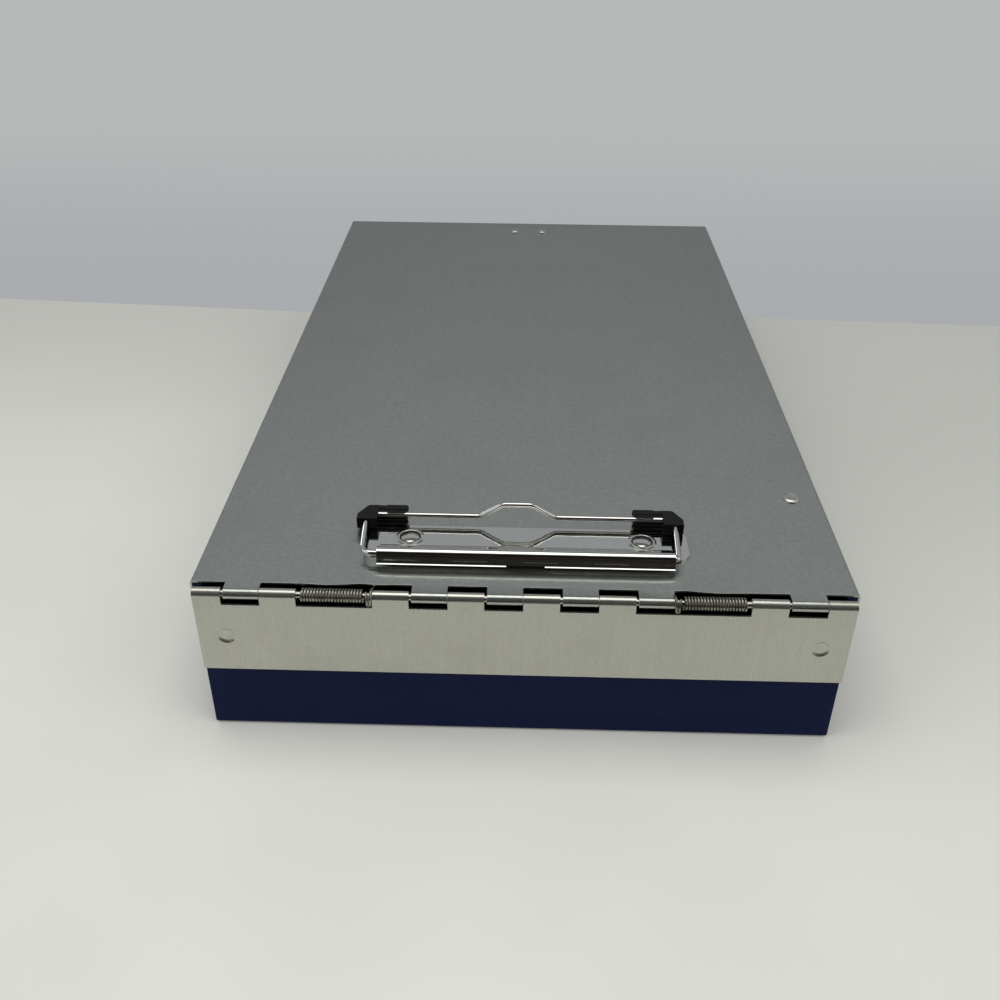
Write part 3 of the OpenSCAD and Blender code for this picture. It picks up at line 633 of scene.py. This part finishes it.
def nickel(name, light, dark, wave):
    """Mirror-bright plating with faint wiping marks; wave is the height of its slow ripple in metres."""
    finish, tree, shader, coords = start_finish(name)
    smears = speckle(tree, coords, (7, 3, 3), detail=3)
    hairlines = between(tree, speckle(tree, coords, (9, 0.12, 0.12), detail=1, seed=4), 0.62, 0.78)
    tone = tint(tree, smears, light, dark)
    gloss = between(tree, smears, 0.3, 0.75, 0.035, 0.09)
    feed(tree, shader, {
        "Base Color": tint(tree, work_out(tree, "MULTIPLY", hairlines, 0.25), tone, shaded(dark, 0.75)),
        "Roughness": work_out(tree, "MULTIPLY_ADD", hairlines, 0.24, gloss),
        "Metallic": 1.0,
        "Normal": bump(tree, speckle(tree, coords, (9, 4, 4), detail=1, seed=6), 1.0, wave),
    })
    return finish


def bar_profile():
    """The sheet's upper face from the lip, over the bar and back to the flat plate, as (y, z) in mm."""
    high, low, lip, slope = (math.radians(a) for a in (18, 8, 60, 31))
    roll_front = (PIVOT.y - ROLL_R * math.cos(high), ROLL_Z + ROLL_R * math.sin(high))
    # the front flank is slightly barrelled
    flank = []
    for k in range(7):
        a = low + (high - low) * k / 6
        flank.append((roll_front[0] - FLANK_R * (math.cos(a) - math.cos(high)),
                      roll_front[1] - FLANK_R * (math.sin(high) - math.sin(a))))
    # below it the lip turns outwards in a crisp bend
    bend = []
    for k in range(5):
        a = lip + (low - lip) * k / 4
        bend.append((flank[0][0] - LIP_BEND * (math.cos(low) - math.cos(a)),
                     flank[0][1] - LIP_BEND * (math.sin(a) - math.sin(low))))
    tip = (bend[0][0] - LIP_L * math.sin(lip), bend[0][1] - LIP_L * math.cos(lip))
    middle = ((tip[0] + bend[0][0]) / 2, (tip[1] + bend[0][1]) / 2)
    face = [tip, middle] + bend + flank[1:-1]
    # roll over the pivot
    start, end = math.pi - high, math.pi / 2 - slope
    for k in range(33):
        a = start + (end - start) * k / 32
        face.append((PIVOT.y + ROLL_R * math.cos(a), ROLL_Z + ROLL_R * math.sin(a)))
    # back flank down to the plate, with a small bend
    top = face[-1]
    foot_y = top[0] + (top[1] - PLATE_TOP) / math.tan(slope)
    reach = FOOT_BEND * math.tan(slope / 2)
    run = math.hypot(foot_y - top[0], top[1] - PLATE_TOP) - reach
    for t in (0.25, 0.5, 0.75, 1.0):
        face.append((top[0] + math.cos(slope) * run * t, top[1] - math.sin(slope) * run * t))
    for k in range(1, 7):
        a = slope * (1 - k / 6)
        face.append((foot_y + reach - FOOT_BEND * math.sin(a), PLATE_TOP + FOOT_BEND * (1 - math.cos(a))))
    return face, foot_y + reach


def ear_half(y):
    """Half width of the plate at y; its corners are rounded."""
    d = min(y - PLATE_FRONT_Y, PLATE_BACK_Y - y)
    if d >= EAR_R:
        return PLATE_HALF
    return PLATE_HALF - EAR_R + math.sqrt(max(0, EAR_R ** 2 - (EAR_R - d) ** 2))


def clip_sheet():
    """The bar and the plate as one sheet, bent along bar_profile, with two flat ears beside the bar."""
    profile, flat_from = bar_profile()
    # the notch takes away the lip and its bend, which are the first rows of the profile
    lip_rows = 6
    corner_steps = [EAR_R * (1 - math.cos(math.pi / 2 * k / 9)) for k in range(10)]
    back_rows = [flat_from, -165, -161, -157] + [PLATE_BACK_Y - d for d in corner_steps]
    flat_rows = sorted({round(y, 4) for y in back_rows if y > flat_from - 1e-6}
                       | {round(PLATE_FRONT_Y + d, 4) for d in corner_steps})
    columns = sorted({round(-BAR_HALF + i * BAR_HALF / 20, 3) for i in range(41)} | {-NOTCH_HALF, NOTCH_HALF})
    shape = bmesh.new()

    def at(x, y, z):
        return shape.verts.new(((PLATE_X + x) * MM, y * MM, z * MM))

    rows = [[at(x, y, z) for x in columns] for y, z in profile]
    rows += [[at(x, y, PLATE_TOP) for x in columns] for y in flat_rows if y > flat_from + 1e-4]
    for j in range(len(rows) - 1):
        for i in range(len(columns) - 1):
            if j < lip_rows and abs((columns[i] + columns[i + 1]) / 2) < NOTCH_HALF:
                continue
            shape.faces.new((rows[j][i], rows[j][i + 1], rows[j + 1][i + 1], rows[j + 1][i]))
    # the ears beside the bar lie flat on the lid
    for s in (-1, 1):
        ear = [[at(s * (BAR_HALF + (ear_half(y) - BAR_HALF) * k / 3), y, PLATE_TOP) for k in range(4)]
               for y in flat_rows]
        for j in range(len(ear) - 1):
            for k in range(3):
                quad = (ear[j][k], ear[j][k + 1], ear[j + 1][k + 1], ear[j + 1][k])
                shape.faces.new(quad if s > 0 else tuple(reversed(quad)))
    bmesh.ops.remove_doubles(shape, verts=shape.verts, dist=2e-6)
    loose = [v for v in shape.verts if not v.link_faces]
    bmesh.ops.delete(shape, geom=loose, context="VERTS")
    sheet = piece_from(shape, "clip_plate_sheet")
    sheet.data.shade_smooth()
    thick = sheet.modifiers.new("sheet", "SOLIDIFY")
    thick.thickness = PLATE_T * MM
    thick.offset = -1
    ease_edges(sheet, 0.22, 3, 50)
    return sheet


bright_plating = nickel("bright_plating", PLATING_LIGHT, PLATING_DARK, wave=0.000035)
hand_over(clip_sheet(), "lid", "bright_plating", bright_plating, "clip_plate")

# ---------- eyelets ----------
# Two hollow rivets, drawn from thin metal and nickel plated like the clip plate, hold it to the lid.
# Each has a flat flange and a rolled rim round a low dome; the crease between them is painted dark and dull.

# in mm; EYELET_X is measured from the plate's middle; the crease is painted dark, fading in over CREASE_IN and
# out over CREASE_OUT
EYELET_X, EYELET_Y = 41.5, -161.0
RIM_R, RIM_BEAD_R, RIM_BEAD_Z = 3.97, 0.25, 0.19
CREASE_IN, CREASE_OUT = (3.05, 3.30), (3.86, 3.70)

# outline from the middle of the top to the middle of the underside, as (radius, height over the plate) in mm
dome = [(0, 0.50), (0.6, 0.49), (1.0, 0.475), (1.5, 0.43), (2.0, 0.37), (2.4, 0.285), (2.8, 0.16),
        (3.1, 0.045), (3.3, 0.02), (3.6, 0.02), (3.68, 0.05), (3.72, 0.12)]
rim_bead = [(RIM_R - RIM_BEAD_R * math.cos(a), RIM_BEAD_Z + RIM_BEAD_R * math.sin(a))
            for a in (math.radians(degrees) for degrees in range(0, 91, 15))]
flange = [(4.28, 0.44), (4.32, 0.40), (4.34, 0.16), (4.40, 0.14), (5.12, 0.12), (5.17, 0.09),
          (5.17, -0.02), (5.05, -0.04)]
shank_and_tail = [(2.58, -0.04), (2.58, -1.6), (2.9, -1.75), (3.7, -1.85), (3.75, -2.1), (3.4, -2.6),
                  (2.8, -2.78), (0, -2.6)]


def turned(name, outline, centre, steps=64):
    """Solid turned about the upright axis through centre, all in mm."""
    x, y, z = centre
    points, faces = [], []
    for r, up in outline[1:-1]:
        for k in range(steps):
            a = 2 * math.pi * k / steps
            points.append([c * MM for c in (x + r * math.cos(a), y + r * math.sin(a), z + up)])
    rings = len(outline) - 2
    for i in range(rings - 1):
        for k in range(steps):
            j = (k + 1) % steps
            faces.append((i * steps + k, (i + 1) * steps + k, (i + 1) * steps + j, i * steps + j))
    top, low = len(points), len(points) + 1
    points += [[c * MM for c in (x, y, z + up)] for up in (outline[0][1], outline[-1][1])]
    for k in range(steps):
        j = (k + 1) % steps
        faces.append((top, k, j))
        faces.append((low, (rings - 1) * steps + j, (rings - 1) * steps + k))
    mesh = bpy.data.meshes.new(name)
    mesh.from_pydata(points, [], faces)
    mesh.shade_smooth()
    mesh.set_sharp_from_angle(angle=math.radians(35))
    return add_piece(name, mesh)


eyelet_plating = nickel("eyelet_plating", PLATING_LIGHT, PLATING_DARK, wave=0.000035)
tree = eyelet_plating.node_tree
shader = tree.nodes["Principled BSDF"]
across, along, _ = xyz_of(tree, place(tree, "ShaderNodeTexCoord").outputs["Object"])
off_plate_x = work_out(tree, "ABSOLUTE", work_out(tree, "SUBTRACT", across, PLATE_X * MM))
off_x = work_out(tree, "SUBTRACT", off_plate_x, EYELET_X * MM)
off_y = work_out(tree, "SUBTRACT", along, EYELET_Y * MM)
off_y_squared = work_out(tree, "MULTIPLY", off_y, off_y)
off_axis = work_out(tree, "SQRT", work_out(tree, "MULTIPLY_ADD", off_x, off_x, off_y_squared))
# the crease between dome and rim is painted dark and dull
crease = work_out(tree, "MULTIPLY", between(tree, off_axis, *(r * MM for r in CREASE_IN)),
                  between(tree, off_axis, *(r * MM for r in CREASE_OUT)))
for socket, crease_dark in (("Base Color", (0.035, 0.034, 0.030, 1)), ("Roughness", (0.5, 0.5, 0.5, 1))):
    bright = shader.inputs[socket].links[0].from_socket
    feed(tree, shader, {socket: tint(tree, crease, bright, crease_dark)})
for side, word in ((-1, "left"), (1, "right")):
    eyelet = turned(f"clip_eyelet_{word}_turned", dome + rim_bead + flange + shank_and_tail,
                    (PLATE_X + side * EYELET_X, EYELET_Y, PLATE_TOP))
    hand_over(eyelet, "lid", "bright_plating", eyelet_plating, f"clip_eyelet_{word}")

# ---------- spring ends in the bar ----------
# The two ends of the bail's own wire, which run on inside the bar and hook down behind the lip.
# They are twisted when the bail is fitted, and that twist presses it shut.

for word in ("left", "right"):
    dress(f"clip_spring_{word}", spring_wire)

# ---------- bail ----------
# One nickel-plated wire, 2 mm thick, bent into a loop with a finger hump in its long side.
# Its legs turn into the ends of the bar, in which it pivots.

# in mm; LEG_FRONT, LEG_BACK and STUB_END are x places, with -1 for the left side and 1 for the right
BAIL_R = 1.0
BAIL_DEPTH = 23.05
BAIL_RISE = 0.70
STUB_END = {-1: -45.95, 1: 43.35}
LEG_FRONT = {-1: -56.2, 1: 53.6}
LEG_BACK = {-1: -57.4, 1: 54.5}
HUMP_MID, HUMP_FOOT, HUMP_CROWN, HUMP_RISE = -2.4, 13.8, 5.2, 5.36


def bail_line():
    """The wire's centre line from stub to stub, drawn flat from the pivot and then tilted up to its rise."""
    reach = math.hypot(BAIL_DEPTH, BAIL_RISE)
    flat = bent_line([(STUB_END[-1], 0, 0), (LEG_FRONT[-1], 0, 0), (LEG_BACK[-1], reach, 0),
                      (HUMP_MID - HUMP_FOOT, reach, 0), (HUMP_MID - HUMP_CROWN, reach, HUMP_RISE),
                      (HUMP_MID + HUMP_CROWN, reach, HUMP_RISE), (HUMP_MID + HUMP_FOOT, reach, 0),
                      (LEG_BACK[1], reach, 0), (LEG_FRONT[1], 0, 0), (STUB_END[1], 0, 0)],
                     [0, 3.8, 3.5, 4, 5, 5, 4, 3.5, 1.2, 0], steps=12)
    tilt = Matrix.Rotation(math.atan2(BAIL_RISE, BAIL_DEPTH), 3, "X")
    return [Vector((0, PIVOT.y + 0.05, PIVOT.z + 0.20)) + tilt @ p for p in flat]


bright_wire = nickel("bright_wire", (0.66, 0.65, 0.63, 1), (0.62, 0.61, 0.585, 1), wave=0.000002)
bail = wire("clip_bail_wire", bail_line(), BAIL_R, sides=28)
hand_over(bail, "bail", "bright_plating", bright_wire, "clip_bail")
# a small lamp behind on the left draws the bright line along the legs; it lights nothing else
glint = area_lamp("leg_glint", 0.32, 0.32, 0.9)
glint.matrix_world = (Matrix.Translation((-0.681, 0.706, 0.311))
                      @ Vector((-0.62, 0.87, 0.25)).to_track_quat("Z", "Y").to_matrix().to_4x4())
glint.visible_camera = False
only_bail = bpy.data.collections.new("only_bail")
only_bail.objects.link(bail)
glint.light_linking.receiver_collection = only_bail

# ---------- corner caps ----------
# Two moulded black caps on the bail's back corners: a chamfered block over the corner, an arm that holds
# the wire between a stepped wall and a lower jaw, and a foot that grips the paper.

# in mm; CAP_END is the outer side of the left and the right cap, and the foot lies at CAP_LOW, under the block
CAP_END = {-1: -60.55, 1: 57.45}
CAP_L = 18.2
CAP_BLOCK_L = 7.4
CAP_BACK, CAP_FRONT = -147.6, -156.5
CAP_LOW, CAP_TOP = 61.15, 66.9
OVER_PLATE = 62.3
ARCH_BACK = -153.1
ARCH_HALF = 1.3

black_plastic, tree, shader, coords = start_finish("black_plastic")
pebble = speckle(tree, coords, (0.30, 0.30, 0.30), detail=3)
scuffs = speckle(tree, coords, (4, 4, 3), detail=4, seed=8)
feed(tree, shader, {
    "Base Color": tint(tree, between(tree, scuffs, 0.45, 0.8), (0.0022, 0.0022, 0.0020, 1),
                       (0.0070, 0.0070, 0.0066, 1)),
    "Roughness": between(tree, scuffs, 0.3, 0.7, 0.30, 0.42),
    "Specular IOR Level": 0.22,
    "Normal": bump(tree, pebble, 0.5, 0.00003),
})


def melted(piece):
    """Melts a piece's blocks into one moulding with soft edges."""
    melt = piece.modifiers.new("moulded", "REMESH")
    melt.mode = "VOXEL"
    melt.voxel_size = 0.12 * MM
    soften = piece.modifiers.new("softened", "SMOOTH")
    soften.factor = 0.5
    soften.iterations = 7
    slim = piece.modifiers.new("slimmed", "DECIMATE")
    slim.ratio = 0.3
    bpy.context.view_layer.update()
    made = bpy.data.meshes.new_from_object(piece.evaluated_get(bpy.context.evaluated_depsgraph_get()))
    piece.modifiers.clear()
    piece.data = made
    made.shade_smooth()
    made.set_sharp_from_angle(angle=math.radians(60))
    return piece


def corner_cap(side, name):
    """One cap; u runs from its outer side towards the middle of the bail, in mm."""
    shape = bmesh.new()

    def block(outline, low, high):
        """Upright block over an outline of (u, y) points."""
        across = [((CAP_END[side] - side * u) * MM, y * MM) for u, y in outline]
        rings = [[shape.verts.new((*point, z * MM)) for point in across] for z in (low, high)]
        count = len(outline)
        shape.faces.new(rings[0])
        shape.faces.new(list(reversed(rings[1])))
        for k in range(count):
            j = (k + 1) % count
            shape.faces.new((rings[0][j], rings[0][k], rings[1][k], rings[1][j]))

    def arch_part(u0, u1, low, high):
        """Straight block in front of the corner, where the wire's leg comes out."""
        block([(u0, CAP_FRONT), (u1, CAP_FRONT), (u1, ARCH_BACK), (u0, ARCH_BACK)], low, high)

    def bar(u0, u1, y0, y1, low, high):
        """Straight block whose inner end is rounded in plan."""
        r = min(1.3, 0.45 * (y1 - y0), 0.45 * (u1 - u0))
        quarter = [math.radians(a) for a in (0, 22, 45, 68, 90)]
        end = [(u1 - r + r * math.sin(a), y0 + r - r * math.cos(a)) for a in quarter]
        end += [(u1 - r + r * math.cos(a), y1 - r + r * math.sin(a)) for a in quarter]
        block([(u0, y0)] + end + [(u0, y1)], low, high)

    block([(0, ARCH_BACK - 0.1), (0, CAP_BACK - 6.3), (0.5, CAP_BACK - 5.2), (3.0, CAP_BACK - 0.7),
           (4.0, CAP_BACK), (CAP_BLOCK_L, CAP_BACK), (CAP_BLOCK_L, ARCH_BACK - 0.1)], OVER_PLATE, CAP_TOP)
    # side walls, roof and rounded shoulders of the arch that the wire's leg comes out of
    leg_u = side * (CAP_END[side] - LEG_BACK[side])
    arch_low, arch_high = leg_u - ARCH_HALF, leg_u + ARCH_HALF
    arch_part(0, arch_low, OVER_PLATE, CAP_TOP - 0.25)
    arch_part(arch_high, CAP_BLOCK_L, OVER_PLATE, CAP_TOP - 0.1)
    arch_part(0.2, CAP_BLOCK_L, CAP_TOP - 0.75, CAP_TOP - 0.1)
    for d, drop in ((0.35, 1.5), (0.8, 1.05)):
        arch_part(arch_low - 0.1, arch_low + d, CAP_TOP - drop, CAP_TOP - 0.3)
        arch_part(arch_high - d, arch_high + 0.1, CAP_TOP - drop, CAP_TOP - 0.3)
    # stepped wall behind the wire; its end is a raised finger that laps over the wire
    bar(7, CAP_L - 0.5, CAP_BACK - 1.9, CAP_BACK, CAP_LOW, CAP_TOP - 0.1)
    bar(7, CAP_L - 0.6, CAP_BACK - 3.1, CAP_BACK, CAP_LOW, CAP_TOP - 0.6)
    bar(10.4, CAP_L, CAP_BACK - 2.7, CAP_BACK + 0.1, CAP_TOP - 1.4, CAP_TOP + 0.1)
    bar(10.6, CAP_L - 0.3, CAP_BACK - 4.7, CAP_BACK - 1.4, CAP_TOP - 1.15, CAP_TOP - 0.35)
    # jaw in front of the wire, with three steps of unequal length
    bar(7, CAP_L - 1.2, CAP_BACK - 5.15, CAP_BACK - 3.0, OVER_PLATE, CAP_TOP - 1.6)
    for end, front, low, high in ((CAP_L - 0.2, -5.7, 64.85, 65.5), (CAP_L - 0.6, -5.95, 63.75, 64.40),
                                  (CAP_L + 0.1, -6.15, OVER_PLATE, 63.25)):
        bar(7, end, CAP_BACK + front, CAP_BACK - 3.4, low, high)
    # foot that grips the paper
    bar(0.4, CAP_L - 0.6, CAP_BACK - 5.55, CAP_BACK, CAP_LOW, OVER_PLATE + 0.2)
    bmesh.ops.recalc_face_normals(shape, faces=shape.faces)
    return melted(piece_from(shape, name))


for side, word in ((-1, "left"), (1, "right")):
    hand_over(corner_cap(side, f"corner_cap_{word}_moulding"), "bail", "black_plastic", black_plastic,
              f"corner_cap_{word}")
